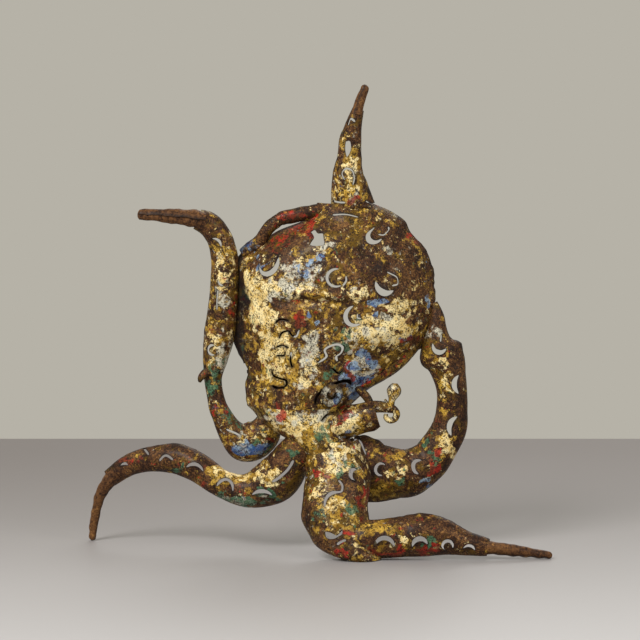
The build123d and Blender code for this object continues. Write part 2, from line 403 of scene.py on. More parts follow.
def triangulate(outline, holes, inner):
    """Points and triangles of a sheet laid flat, with its holes left open."""
    loops = [outline] + holes
    edges, start = [], 0
    for loop in loops:
        edges += [(start + k, start + (k + 1) % len(loop)) for k in range(len(loop))]
        start += len(loop)
    corners = np.concatenate(loops + [inner])
    found = delaunay_2d_cdt([tuple(p) for p in corners], edges, [], 0, 1e-5)
    flat = np.array([tuple(v) for v in found[0]])
    faces = np.array([f for f in found[2] if len(f) == 3])
    middle = flat[faces].mean(axis=1)
    keep = inside(middle, outline)
    for hole in holes:
        keep &= ~inside(middle, hole)
    used = np.unique(faces[keep])
    return flat[used], np.searchsorted(used, faces[keep])


def sheet(trough, coats, cuts=(), *, seed, large, small=0.4, ragged=0.9, bumps=(), step=STEP,
          thickness=SHEET):
    """Hammered sheet with its cuts: points, polygons, and shares of the coats and of the painted shade.

    Coats are the base shares and the patches, of the paints and of the painted shade. A bump is (x, z, reach
    in x, reach in z, height).
    The rims are as uneven as ragged says, and small and large are the depths of the hammer marks."""
    for cut in cuts:
        cut.seat(trough)
    along = np.append(np.arange(0, trough.length, step), trough.length)
    reach = trough.half_arc(along)
    rims = [uneven_rim(along, reach, side, ragged, seed) for side in (1, -1)]
    outline = resample(np.concatenate([rims[0], rims[1][::-1]]), step)
    holes = [resample(cut.outline(), CUT_STEP) for cut in cuts]
    inner = inner_points(outline, holes, trough.length, reach.max() + 3, step, seed)
    flat, faces = triangulate(outline, holes, inner)

    points, normals = trough.place(np.clip(flat[:, 0], 0, trough.length), flat[:, 1])
    facing = np.clip(-normals[:, 1] if normals[:, 1].mean() < 0 else normals[:, 1], 0, 1)
    end_gap = np.minimum(flat[:, 0], trough.length - flat[:, 0])
    lift = -hammered(flat, seed, small, large) * (0.3 + 0.7 * facing) * smoothstep(0, END_FADE, end_gap)
    for x, z, wide, tall, amount in bumps:
        lift += amount * np.exp(-((points[:, 0] - x) / wide) ** 2 - ((points[:, 2] - z) / tall) ** 2)
    for cut in cuts:
        lift += cut.bend(flat)
    points = points + normals * lift[:, None]
    sample = faces[len(faces) // 2]
    faces = turned_out(points, faces, sample, normals[sample[0]])
    # distances to the rims and the cuts, along which painted shade is laid
    rim_gap = edge_distance(flat, np.concatenate(rims))
    hole_gap = np.full(len(flat), 99.0)
    for hole in holes:
        hole_gap = np.minimum(hole_gap, edge_distance(flat, hole))
    shares = edge_shade_and_back(coat_and_shade_shares(points, *coats, seed), rim_gap, hole_gap)
    both, polygons = thicken(points, faces, thickness)
    return both, polygons, shares


TIP_WRAPS, TIP_WALL = 1.13, 1.0     # turns of the roll, and its sheet's thickness
TIP_STEP, TIP_SIDES = 1.2, 34       # mesh points along it and round it
TIP_PINCH = 1.8                     # length over which its end closes


def rolled(stations, coats, seed, seam):
    """Sheet rolled into a tapering tube whose edge overlaps along a seam.

    Stations give x, y, z, radius, and seam is where the sheet's edge lies, in degrees round the tube."""
    nodes = np.array(stations, float)
    chord = arc_length(nodes[:, :3])
    fine = np.append(np.arange(0, chord[-1], TIP_STEP), chord[-1])
    spine = spline(chord, nodes, fine)
    tangent = np.gradient(spine[:, :3], axis=0)
    tangent /= np.linalg.norm(tangent, axis=1)[:, None]
    side = np.cross(tangent, (0, 1.0, 0))
    side /= np.linalg.norm(side, axis=1)[:, None]
    front = np.cross(tangent, side)
    turns = np.linspace(0, 2 * math.pi * TIP_WRAPS, TIP_SIDES)
    shrink = 1 - 0.24 * turns / turns[-1]       # so the edge tucks in under the first turn
    close = np.clip((chord[-1] - fine) / TIP_PINCH, 0, 1) ** 0.5 * 0.75 + 0.25
    angle = turns + math.radians(seam)
    ring = (spine[:, 3] * close)[:, None] * shrink[None, :]
    points = (spine[:, None, :3] + ring[..., None] * (np.cos(angle)[None, :, None] * side[:, None, :]
              + np.sin(angle)[None, :, None] * front[:, None, :]))
    points = points.reshape(-1, 3)
    points = points + 0.35 * field(points, seed, 9)[:, None] * np.repeat(side, len(turns), axis=0)
    count = len(turns)
    faces = []
    for row in range(len(fine) - 1):
        for k in range(row * count, row * count + count - 1):
            faces += [(k, k + 1, k + count + 1), (k, k + count + 1, k + count)]
    faces = np.array(faces)
    faces = turned_out(points, faces, faces[0], points[0] - spine[0, :3])
    both, polygons = thicken(points, faces, TIP_WALL)
    # painted shade along the roll's seam, where its edge lies over the turn below
    seam_gap = np.tile(np.minimum(turns, turns[-1] - turns), len(fine)) * np.repeat(spine[:, 3], count)
    shares = edge_shade_and_back(coat_and_shade_shares(points, *coats, seed), seam_gap, np.full(len(points), 99.0))
    return both, polygons, shares


WELD_RADIUS, WELD_RINGS, WELD_SIDES = 2.4, 9, 14    # a bead's size, and its mesh steps down and round


def bead(centre, coats, seed):
    """Lumpy bead of weld metal."""
    outward = [(0, 0, 1)]
    for tilt in (math.pi * ring / WELD_RINGS for ring in range(1, WELD_RINGS)):
        for turn in (2 * math.pi * k / WELD_SIDES for k in range(WELD_SIDES)):
            outward.append((math.sin(tilt) * math.cos(turn), math.sin(tilt) * math.sin(turn), math.cos(tilt)))
    outward = np.array(outward + [(0, 0, -1)])
    points = np.array(centre, float) + WELD_RADIUS * outward
    points = points + outward * (0.22 * WELD_RADIUS * field(points, seed, WELD_RADIUS * 1.3))[:, None]
    polygons, bottom = [], len(points) - 1
    for k in range(WELD_SIDES):
        after = (k + 1) % WELD_SIDES
        polygons.append((0, 1 + k, 1 + after))
        for first in range(1, bottom - WELD_SIDES, WELD_SIDES):
            polygons.append((first + k, first + WELD_SIDES + k, first + WELD_SIDES + after, first + after))
        polygons.append((bottom - WELD_SIDES + k, bottom, bottom - WELD_SIDES + after))
    return points, polygons, coat_and_shade_shares(points, *coats, seed)


# ---- materials

DARK_RUST = (0.013, 0.0055, 0.003)
BROWN_RUST = (0.052, 0.021, 0.009)
WARM_RUST = (0.125, 0.055, 0.018)
ORANGE_RUST = (0.30, 0.15, 0.045)
DEEP_SHADE = (0.010, 0.008, 0.008)
PAINT_COLOURS = {           # darkest and lightest colour of each paint
    "olive": ((0.068, 0.034, 0.004), (0.185, 0.105, 0.007)),
    "gold": ((0.27, 0.145, 0.016), (0.60, 0.37, 0.055)),
    "cream": ((0.72, 0.51, 0.18), (0.88, 0.73, 0.38)),
    "white": ((0.42, 0.40, 0.31), (0.74, 0.70, 0.55)),
    "green": ((0.022, 0.085, 0.045), (0.09, 0.20, 0.11)),
    "blue": ((0.025, 0.085, 0.26), (0.27, 0.37, 0.47)),
    "red": ((0.15, 0.026, 0.010), (0.40, 0.022, 0.014)),
}
COVER_GAIN = 0.46           # what a paint's share adds to its noise
COVER_LEVEL = 0.735         # where that sum reaches this, the paint shows
WORN, PITTED = (0.560, 0.610), (0.705, 0.745)       # noise over which worn spots and pits are bare


class Graph:
    """Short names for building a material's nodes."""

    def __init__(self, name):
        self.material = bpy.data.materials.new(name)
        self.material.use_nodes = True
        self.tree = self.material.node_tree
        self.shader = self.tree.nodes["Principled BSDF"]

    def node(self, kind, inputs=(), **settings):
        """Node with its settings; inputs are sockets to link or plain values, by name or number."""
        made = self.tree.nodes.new(kind)
        for key, value in settings.items():
            setattr(made, key, value)
        for key, value in dict(inputs).items():
            self.link(value, made.inputs[key])
        return made

    def link(self, value, socket):
        if isinstance(value, bpy.types.NodeSocket):
            self.tree.links.new(value, socket)
        else:
            socket.default_value = value

    def math(self, operation, first, second=0.0, third=0.0):
        return self.node("ShaderNodeMath", {0: first, 1: second, 2: third}, operation=operation).outputs[0]

    def mix(self, share, first, second):
        """From the first colour to the second; a colour is a socket or its red, green and blue."""
        first, second = (c if isinstance(c, bpy.types.NodeSocket) else (*c, 1) for c in (first, second))
        return self.node("ShaderNodeMix", {0: share, 6: first, 7: second}, data_type="RGBA").outputs[2]

    def step(self, value, low, high):
        """0 to 1 as the value goes from low to high."""
        return self.node("ShaderNodeMapRange", {"Value": value, "From Min": low, "From Max": high},
                         interpolation_type="SMOOTHSTEP").outputs["Result"]

    def noise(self, coords, scale, detail, roughness, offset=0.0):
        """Three independent noises of one size, in the scale's turns per metre."""
        moved = self.node("ShaderNodeVectorMath", {0: coords, 1: (offset, offset * 0.7, -offset)},
                          operation="ADD").outputs[0]
        made = self.node("ShaderNodeTexNoise", {"Vector": moved, "Scale": scale, "Detail": detail,
                                                "Roughness": roughness})
        parts = self.node("ShaderNodeSeparateColor", {0: made.outputs["Color"]}).outputs
        return parts[0], parts[1], parts[2]

    def ramp(self, value, stops):
        made = self.node("ShaderNodeValToRGB", {0: value})
        elements = made.color_ramp.elements
        while len(elements) < len(stops):
            elements.new(0.5)
        for element, (position, colour) in zip(elements, stops):
            element.position, element.color = position, (*colour, 1)
        return made.outputs[0]

    def metal(self, colour, roughness, height, bump, coat_roughness):
        """Links up the dull, thinly lacquered steel; height is what the bump raises."""
        raised = self.node("ShaderNodeBump", {"Strength": bump, "Distance": 0.0005, "Height": height})
        values = {"Base Color": colour, "Roughness": roughness, "Normal": raised.outputs[0],
                  "Specular IOR Level": 0.14, "Coat Weight": 0.04, "Coat Roughness": coat_roughness}
        for name, value in values.items():
            self.link(value, self.shader.inputs[name])
        return self.material


def rust_colour(graph, coords):
    """Bare rusted steel: umber to orange in blotches with fine grain."""
    broad = graph.noise(coords, 55, 6, 0.62)[0]
    grain = graph.noise(coords, 520, 3, 0.6, 3.1)[0]
    value = graph.math("MULTIPLY_ADD", grain, 0.55, graph.math("MULTIPLY", broad, 0.52))
    return graph.ramp(value, [(0.42, DARK_RUST), (0.52, BROWN_RUST), (0.60, WARM_RUST), (0.70, ORANGE_RUST)])


def painted_rust():
    """Old coats of paint chipped through to rust, with painted shade; each coat's share and the shade come
    from the mesh.
    """
    graph = Graph("painted_rust")
    coords = graph.node("ShaderNodeTexCoord").outputs["Object"]
    drift = graph.node("ShaderNodeTexNoise", {"Vector": coords, "Scale": 70, "Detail": 3}).outputs["Color"]
    drift = graph.node("ShaderNodeVectorMath", {0: drift, "Scale": 0.006}, operation="SCALE").outputs[0]
    coords = graph.node("ShaderNodeVectorMath", {0: coords, 1: drift}, operation="ADD").outputs[0]
    layers = []
    for name in ("coats_a", "coats_b_and_shade"):
        attribute = graph.node("ShaderNodeAttribute", attribute_name=name)
        parts = graph.node("ShaderNodeSeparateColor", {0: attribute.outputs["Color"]}).outputs
        layers += [parts[0], parts[1], parts[2], attribute.outputs["Alpha"]]
    share = dict(zip(COATS_AND_SHADE, layers))

    chips = graph.noise(coords, 165, 6, 0.69)
    flakes = graph.noise(coords, 200, 6, 0.70, 5.3)
    spots = graph.noise(coords, 150, 6, 0.72, 9.7)
    tones = graph.noise(coords, 95, 4, 0.6, 14.2)
    fine = graph.noise(coords, 640, 3, 0.65, 21.5)

    # paint, the noise that chips it, how soft the chips' edges are, share of its light colour, most it covers
    washes = [
        ("olive", tones[0], 0.10, fine[1], 0.85),
        ("gold", chips[0], 0.05, graph.step(tones[1], 0.38, 0.62), 0.88),
        ("cream", flakes[0], 0.035, graph.step(spots[2], 0.4, 0.6), 0.95),
        ("white", flakes[1], 0.09, graph.step(fine[0], 0.35, 0.65), 0.84),
        ("green", spots[0], 0.05, graph.step(fine[2], 0.35, 0.65), 0.85),
        ("blue", spots[1], 0.05, graph.step(tones[2], 0.38, 0.6), 0.88),
        ("red", chips[1], 0.045, graph.step(tones[0], 0.42, 0.62), 0.86),
    ]
    colour, paint = rust_colour(graph, coords), 0.0
    for name, noise, soft, lightness, most in washes:
        reached = graph.math("MULTIPLY_ADD", share[name], COVER_GAIN, noise)
        mask = graph.math("MULTIPLY", graph.step(reached, COVER_LEVEL - soft, COVER_LEVEL + soft), most)
        colour = graph.mix(mask, colour, graph.mix(lightness, *PAINT_COLOURS[name]))
        paint = graph.math("MAXIMUM", paint, mask)

    worn = graph.math("MULTIPLY_ADD", fine[0], 0.4, graph.math("MULTIPLY", chips[2], 0.65))
    pits = graph.math("MULTIPLY_ADD", tones[1], 0.3, fine[1])
    bare = graph.math("MAXIMUM", graph.step(worn, *WORN), graph.step(pits, *PITTED))
    colour = graph.mix(graph.math("MULTIPLY", bare, 0.9), colour, DARK_RUST)
    # painted shade: the colour goes towards near black where the mesh's shade share is high
    colour = graph.mix(share["shade"], colour, DEEP_SHADE)
    paint = graph.math("MULTIPLY", paint, graph.math("SUBTRACT", 1.0, bare))
    rough = graph.math("MULTIPLY_ADD", fine[2], 0.25, graph.math("MULTIPLY_ADD", paint, -0.2, 0.42))
    height = graph.math("MULTIPLY_ADD", paint, 0.6, graph.math("MULTIPLY", chips[2], 0.8))
    return graph.metal(colour, rough, height, bump=0.55, coat_roughness=0.18)


def bare_rust(name, tint, roughness):
    """Rusted steel with no paint, streaked with the tint, and darkened by the painted shade that the mesh
    carries.
    """
    graph = Graph(name)
    coords = graph.node("ShaderNodeTexCoord").outputs["Object"]
    streak = graph.noise(coords, 240, 5, 0.7, 7.9)
    colour = graph.mix(graph.step(streak[0], 0.42, 0.66), rust_colour(graph, coords), tint)
    # painted shade from the mesh darkens the rust towards near black
    shade = graph.node("ShaderNodeAttribute", attribute_name="coats_b_and_shade").outputs["Alpha"]
    colour = graph.mix(shade, colour, DEEP_SHADE)
    rough = graph.math("MULTIPLY_ADD", streak[1], 0.35, roughness - 0.17)
    return graph.metal(colour, rough, streak[2], bump=0.6, coat_roughness=0.3)


# each material, paired with a slot name
PAINTED = painted_rust(), "painted_sheet"
TIP_RUST = bare_rust("tip_rust", (0.14, 0.062, 0.022), 0.5), "rusty_rolled_tip"
# painted shade: a near-black tint for the side wall and the rear hub, which stands for the shade they lie in
DARK_SHEET = bare_rust("dark_sheet", (0.018, 0.015, 0.015), 0.6), "dark_rear_sheet"
WELD_METAL = bare_rust("weld_metal", (0.06, 0.032, 0.016), 0.55), "weld_bead"


# ---- shapes, cuts and paint of the big sheets
# Cuts and patches give x and z as seen from the front. Stations are those of Trough.

MOTTLED = {"gold": 0.36, "cream": 0.24, "white": 0.1, "green": 0.1, "blue": 0.04, "red": 0.1, "olive": 0.34}
BROWN = {"gold": 0.24, "cream": 0.12, "green": 0.05, "red": 0.12, "olive": 0.26}

MANTLE = [
    (23.5, 12, 351, 26, 13), (28.5, 13, 344, 37.5, 20), (32.5, 13, 334, 49, 26), (23, 14, 322, 67.5, 36),
    (20, 14, 309, 81.5, 43), (15, 14, 291, 96, 48), (15.5, 14, 262, 98.5, 50), (14.5, 14, 234, 98.5, 49),
    (12, 14, 213, 94.5, 47), (7, 14, 195, 84.5, 42), (-1, 13, 177, 72.5, 38), (-14, 12, 163, 61, 36),
    (-22, 11, 147, 51, 34),
]
MANTLE_CUTS = [
    Cut(-52, 292, 10.5, -62, 220, gap=4.6, lift=5, stretch=1.15),
    Opening([(-10, 325), (-6, 326.5), (-2, 324), (2, 323.5), (3, 318.5), (2.5, 313.5), (-3, 312),
             (-10, 313.5), (-9.5, 316.5), (-6, 319), (-8, 323)]),
    Cut(55, 322.5, 10, -125, 190, gap=4.4, lift=5.5),
    Slit([(67, 328.5), (67, 325), (63, 321.5), (58, 322.5)], 1.6),
    Cut(14, 281, 9.6, -172, 235, gap=2.8, lift=5),
    Slit([(23.5, 283), (24, 278), (23.5, 273)], 1.7),
    Cut(63, 272.5, 11, -118, 170, gap=6.5, lift=5),
    Slit([(66, 285), (71.5, 283.5), (75.5, 278), (76, 273.5), (71, 271.5)], 1.6),
    Cut(33, 242.5, 10.6, -158, 215, gap=4, lift=6),
    Slit([(41.5, 240), (38, 240.7), (37.5, 245)], 1.6),
    Slit([(-3.5, 195.5), (6.5, 201.5), (5.5, 208.5), (10.5, 213.5), (16.5, 214.5), (22.5, 210.5),
          (20.5, 204.5), (15.5, 201.5), (17.5, 196)], 2.4),
    Slit([(11.5, 189.5), (20.5, 184.5), (22.5, 187)], 1.8),
    Slit([(-45.5, 234.5), (-42.5, 237.5), (-32, 237.5)]),
    Slit([(-41, 219), (-37.5, 224.5), (-32.5, 226.5), (-27.5, 222.5), (-23.5, 221.5), (-22, 228)]),
    Slit([(-44, 209.5), (-37.5, 211.5), (-31, 209)]),
    Slit([(-36, 205.5), (-35.5, 202.5), (-43, 201)]),
    Slit([(-29, 206), (-28.5, 198.5), (-26.5, 190)], 1.8),
    Slit([(-48, 187.5), (-45.5, 180.5), (-40.5, 177.5), (-33.5, 176.5), (-34.5, 170.5), (-40.5, 168.5),
          (-48.5, 170.5)]),
    Slit([(12.5, 341), (25, 341.7), (38, 339)], 1.7),
    Cut(10.5, 162.5, 15.6, 128, 190, gap=4.2, lift=0),
]
MANTLE_BUMPS = [
    (-5, 265, 34, 4.2, 4.4), (-5, 256, 40, 5.5, -3.0), (20, 262, 25, 4, 1.5), (-5, 331, 8, 4.5, 4.6),
    (-30, 190, 9, 34, 3.0), (60, 224, 40, 10, 2.2), (-60, 262, 16, 24, 2.0), (8, 206, 9, 9, 1.5),
    (88, 290, 22, 30, -2.0), (-38, 325, 24, 12, -1.5), (14, 300, 26, 12, -1.5), (-8, 205, 10, 20, -1.6),
]
MANTLE_PATCHES = {
    "gold": [(-60, 255, 22, 32, 0.66), (30, 275, 14, 10, 0.6), (85, 250, 22, 13, 0.6),
        (64, 224, 42, 16, 0.6), (46, 241, 7, 6, 1), (-48, 200, 24, 38, 0.72), (-27, 190, 7, 34, 1),
        (-10, 175, 10, 14, 0.5)],
    "cream": [(-60, 256, 23, 34, 0.8), (-62, 240, 12, 14, 0.7), (-36, 272, 12, 18, 0.5),
        (-8, 268, 20, 6, 0.62), (96, 276, 10, 10, 0.5), (44, 306, 16, 8, 0.4), (38, 265, 11, 8, 0.72),
        (85, 250, 22, 12, 0.8), (62, 226, 44, 15, 0.84), (46, 241, 6, 5, 0.7), (-45, 205, 22, 38, 0.7),
        (-10, 192, 13, 26, 0.66), (50, 262, 40, 6, 0.25)],
    "white": [(-36, 271, 14, 19, 0.66), (-15, 283, 22, 17, 0.5), (5, 308, 10, 6, 0.5),
        (84, 300, 12, 10, 0.34), (66, 306, 7, 8, 0.5), (38, 268, 7, 5, 0.5), (50, 222, 26, 10, 0.5),
        (63, 237, 9, 7, 0.85), (30, 215, 12, 14, 0.5), (-12, 203, 13, 24, 0.72), (-11, 178, 9, 13, 0.52),
        (29, 167, 9, 7, 0.72), (44, 188, 14, 9, 0.6), (36, 188, 9, 6, 0.62), (78, 292, 5, 5, 0.45)],
    "green": [(36, 238, 4, 4, 0.8), (29, 224, 11, 6, 0.62), (8, 186, 14, 9, 0.55), (22, 215, 8, 5, 0.7),
        (10, 188, 9, 10, 0.7), (-84, 200, 8, 10, 0.5), (-80, 262, 5, 8, 0.5)],
    "blue": [(-2, 301, 11, 7, 0.78), (-12, 286, 11, 8, 0.66), (-6, 238, 7, 5, 0.7), (56, 256, 10, 6, 0.8),
        (58, 243, 5, 4, 0.7), (-4, 234, 6, 4, 0.6), (36, 175, 18, 15, 1), (43, 200, 12, 8, 0.86),
        (92, 219, 9, 7, 0.62), (109, 256, 6, 6, 0.75), (-58, 293, 7, 5, 0.5), (-79, 308, 9, 9, 0.6)],
    "red": [(-45, 319, 27, 17, 0.86), (-18, 332, 18, 9, 0.66), (-5, 331, 7, 4, 0.4),
        (-39.5, 151, 2.8, 10, 1), (96, 316, 12, 9, 0.5), (28, 231, 6, 3.5, 0.85), (-21, 240, 6, 11, 1),
        (-18, 256, 10, 5, 0.6), (28, 184, 3.5, 6, 1), (92, 216, 10, 8, 0.62), (-84, 262, 8, 14, 0.3)],
    "olive": [(-44, 318, 28, 18, 0.95), (0, 300, 24, 12, 0.5), (26, 325, 30, 20, 1),
        (60, 330, 30, 14, 0.45), (5, 240, 24, 16, 0.55), (-27, 190, 8, 34, 1), (8, 186, 14, 12, 0.8),
        (62, 194, 28, 9, 0.8)],
    "shade": [(-5, 327, 8, 1.8, 0.55), (12, 162, 9, 9, 0.97), (-82, 300, 13, 22, 0.92),
        (-83, 262, 10, 26, 0.92), (-83, 225, 8, 26, 0.85), (-78, 200, 6, 14, 0.6)],
    "bare": [(-44, 317, 30, 20, 0.8), (62, 300, 50, 36, 0.5), (92, 268, 24, 40, 0.56),
        (26, 328, 32, 18, 0.62), (-35, 252, 13, 10, 0.8), (-66, 194, 9, 10, 0.7), (8, 190, 12, 10, 0.4)],
}

SHOULDER_STRAP = [
    (-79, 14, 300, 4, 3), (-70, 12, 305, 6.5, 4), (-60.5, 10.5, 312.5, 6, 4.5), (-54.5, 9, 322.5, 5.5, 5),
    (-48.5, 8, 329.5, 6, 5), (-41.5, 7, 334.5, 6.4, 5), (-27, 6, 338.5, 6.5, 5), (-10, 6, 342, 6.5, 5),
    (2, 7, 344, 6, 4), (10, 8, 345, 4, 2),
]
SHOULDER_STRAP_PATCHES = {
    "blue": [(-74, 306, 9, 9, 0.5)],
    "red": [(-30, 340, 22, 8, 0.55)],
    "shade": [(-78, 304, 10, 9, 0.7)],
    "bare": [(-60, 318, 12, 14, 0.5)],
}

HEAD = [
    (-22, 11, 147.2, 51, 34), (-20.5, 10.5, 142, 47, 33.5), (-18.5, 9, 134, 42.5, 32), (-11, 6, 122, 35, 30),
    (0, 3, 112, 30, 28), (8, 1, 102, 29, 27),
]
HEAD_CUTS = [
    Slit([(1, 135.5), (5.5, 140.5), (13, 142.5), (18, 142)]),
]
HEAD_PATCHES = {
    "gold": [(-52, 150, 20, 18, 0.74), (-33, 145, 7, 20, 0.95), (-6, 124, 26, 20, 0.74),
        (-10, 108, 9, 16, 0.6)],
    "cream": [(-50, 148, 18, 15, 0.66), (-5, 133, 22, 16, 0.68), (-28, 130, 20, 16, 0.66)],
    "white": [(-44, 140, 16, 12, 0.5), (-8, 140, 16, 14, 0.5), (-24, 138, 12, 12, 0.5)],
    "green": [(0, 118, 10, 12, 0.55)],
    "red": [(-39.5, 144, 2.8, 9, 0.9)],
    "olive": [(-10, 108, 12, 16, 1)],
    "shade": [(-64, 145, 6, 16, 0.6)],
}

TOP_ARM = [
    (32.2, 12, 346.5, 23, 15), (31, 11, 353, 20.8, 15), (29.3, 9, 365, 18.2, 15), (27.4, 6, 379, 15.3, 13),
    (29, 4, 396, 12, 10), (30, 2, 417, 10, 9), (34, 0, 434, 7, 7), (37.5, -1.5, 446, 5.2, 5),
]
TOP_ARM_CUTS = [
    Slit([(27.5, 430), (30.5, 437), (34.5, 434)], 2.2),
    Opening([(25, 414), (29, 415), (30.5, 410), (28.8, 402), (26, 399), (24, 405)]),
    Slit([(24, 376), (21, 382.5), (25.5, 387), (31.5, 385), (33.5, 378), (32.5, 371)], 1.7),
    Slit([(13, 354), (19, 353), (25, 353.2)]),
    Slit([(45, 354), (51, 350.5), (56, 348)], 1.6),
]
TOP_ARM_PATCHES = {
    "gold": [(30, 362, 14, 20, 0.95), (30, 395, 10, 30, 0.6)],
    "cream": [(28, 366, 12, 18, 0.58), (30, 395, 9, 22, 0.62)],
    "white": [(34, 358, 7, 12, 0.5)],
    "red": [(34, 352, 12, 5, 0.6)],
    "bare": [(50, 360, 8, 26, 0.7), (36, 436, 12, 20, 0.6)],
}

UPPER_LEFT_ARM = [
    (-44, 16, 142, 11, 10), (-50.5, 18, 129, 13.4, 12), (-60.5, 19, 114.5, 18.2, 14),
    (-75.5, 18, 107.3, 18.6, 15), (-88.8, 17, 118, 13.4, 13), (-97.8, 16, 133.5, 9.9, 11),
    (-103, 15.5, 145, 8.7, 10), (-106, 15, 158, 8, 9), (-108, 15, 172, 8.3, 9), (-105.5, 15, 194, 12, 11),
    (-102, 14, 215, 14.8, 13), (-98.2, 13, 240, 14.4, 13), (-96.3, 12, 270, 13.3, 13),
    (-96.7, 10, 300, 12.8, 12), (-103, 8, 319.5, 12, 11), (-112, 6, 330.5, 11.6, 10),
    (-123, 4, 335.3, 9.8, 8.8),
]
UPPER_LEFT_CUTS = [
    Cut(-106.5, 311, 8, 45, 115, gap=2.4, lift=1.5),
    Slit([(-109.5, 307), (-107, 304), (-105, 301.5)], 1.8),
    Slit([(-102.5, 275), (-100.5, 271), (-97.5, 269.5)]),
    Slit([(-102.5, 265), (-103.3, 255), (-103.5, 245)], 1.7),
    Cut(-109, 204.5, 6, 180, 240, gap=3.6, lift=5),
    Slit([(-94.5, 123), (-87.5, 120), (-80.5, 117)]),
    Slit([(-81.5, 109), (-77.5, 106.3), (-73.5, 108)], 1.9),
]
UPPER_LEFT_PATCHES = {
    "gold": [(-104, 300, 12, 28, 0.5), (-46, 114, 5, 16, 0.7)],
    "cream": [(-98, 282, 10, 18, 0.6), (-104, 205, 8, 14, 0.5), (-55, 128, 10, 8, 0.6)],
    "white": [(-100, 262, 9, 12, 0.5), (-98, 195, 8, 30, 0.62), (-90, 119, 10, 6, 0.5)],
    "green": [(-108, 174, 10, 24, 0.56), (-88, 138, 16, 14, 0.62), (-60, 108, 14, 8, 0.45)],
    "blue": [(-72, 104, 18, 9, 0.86)],
    "red": [(-87, 252, 8, 13, 0.75), (-100, 140, 10, 10, 0.5), (-55, 116, 4, 7, 0.7)],
    "olive": [(-47, 114, 7, 18, 1)],
    "bare": [(-110, 330, 24, 18, 0.55), (-104, 236, 10, 10, 0.5), (-104, 172, 10, 20, 0.3),
        (-98, 122, 10, 14, 0.5)],
}

LOWER_LEFT_ARM = [
    (-14, -1, 113, 16.5, 16), (-28, 1, 95, 19, 17), (-46.5, 5, 71.6, 22.8, 17), (-72, 10, 60.6, 17, 16),
    (-99, 16, 66.6, 13.1, 15), (-122, 22, 81.2, 14.8, 14), (-142, 29, 88.8, 15.4, 13),
    (-166, 38, 88.5, 12.8, 12), (-193, 48, 80.6, 10.3, 10), (-214, 54, 65.8, 8.6, 7.5),
]
LOWER_LEFT_CUTS = [
    Cut(-199, 80, 4.5, 95, 150, gap=2.6, lift=1),
    Slit([(-179, 98), (-176, 96.5), (-173, 93.5)], 2.2),
    Slit([(-163, 88.5), (-156, 94), (-148.5, 90)], 2.4),
    Cut(-127.5, 79, 10, 80, 140, gap=3.4, lift=5),
    Cut(-95.5, 66, 9, 75, 215, gap=3.6, lift=5.5),
    Cut(-58.5, 55, 10, 85, 150, gap=3.6, lift=5.5),
    Slit([(-27, 95), (-31, 87), (-39, 79), (-48, 73)], 2.8),
]
LOWER_LEFT_PATCHES = {
    "gold": [(-95, 78, 30, 9, 1), (-55, 80, 22, 14, 0.62), (-185, 92, 16, 6, 0.55)],
    "cream": [(-92, 80, 24, 7, 0.62), (-52, 78, 18, 12, 0.6)],
    "white": [(-80, 52, 30, 6, 0.62)],
    "green": [(-32, 99, 7, 8, 0.75), (-44, 59, 10, 9, 0.9), (-76, 52, 34, 8, 0.66),
        (-148, 79, 12, 5, 0.72)],
    "red": [(-190, 84, 20, 9, 0.62), (-122, 66, 14, 5, 0.45), (-140, 84, 12, 6, 0.4)],
    "olive": [(-24, 70, 10, 22, 0.9)],
    "bare": [(-30, 88, 9, 10, 0.5), (-160, 98, 24, 8, 0.4), (-208, 72, 12, 14, 0.6),
        (-160, 86, 44, 16, 0.4)],
}

FRONT_LEG = [
    (10, 2, 114, 27, 27), (14, -4, 97, 31, 27), (18, -13, 82, 32, 26), (16.5, -21, 66, 32.5, 26),
    (14, -28, 51, 32.5, 25), (15, -33, 40, 33.5, 25), (20.4, -38, 24, 31.2, 25), (27, -41, 12, 30, 25),
    (37, -43, 4, 24, 23), (42, -44, 0.8, 18, 20),
]
FRONT_LEG_CUTS = [
    Cut(34.5, 83.5, 6.5, 168, 235, gap=3.2, lift=5),
    Cut(12.5, 59.5, 9.5, 140, 160, gap=3.6, lift=6),
    Slit([(13.5, 67.5), (20.5, 69), (21.5, 73.5), (17.5, 79)], 2.2),
    Opening([(4.5, 30), (12, 29), (15.5, 27), (21.5, 31), (21, 28), (17.5, 25.5), (15.5, 24), (5.5, 24.5)]),
    Slit([(16.5, 18), (20.5, 20.5), (25, 22.5)]),
]
FRONT_LEG_PATCHES = {
    "gold": [(16, 100, 26, 18, 0.66), (15, 57, 12, 8, 0.95), (20, 42, 20, 12, 0.5),
        (55, 30, 14, 10, 0.7)],
    "cream": [(18, 102, 24, 16, 0.6), (14, 58, 10, 6, 0.55), (-2, 66, 9, 12, 0.45)],
    "white": [(24, 98, 14, 12, 0.45)],
    "green": [(0, 50, 9, 10, 0.5), (22, 88, 8, 8, 0.6), (28, 46, 10, 10, 0.45)],
    "blue": [(34, 112, 6, 6, 0.5)],
    "red": [(3, 86, 9, 6, 0.62), (42, 56, 5, 10, 0.75), (27, 25, 8, 5, 1), (18, 12, 9, 6, 0.75)],
    "olive": [(24, 44, 26, 14, 1), (-10, 80, 8, 30, 0.9)],
    "bare": [(30, 76, 12, 12, 0.5), (28, 70, 14, 10, 0.4), (0, 16, 14, 20, 0.7), (-14, 44, 8, 22, 0.6)],
}

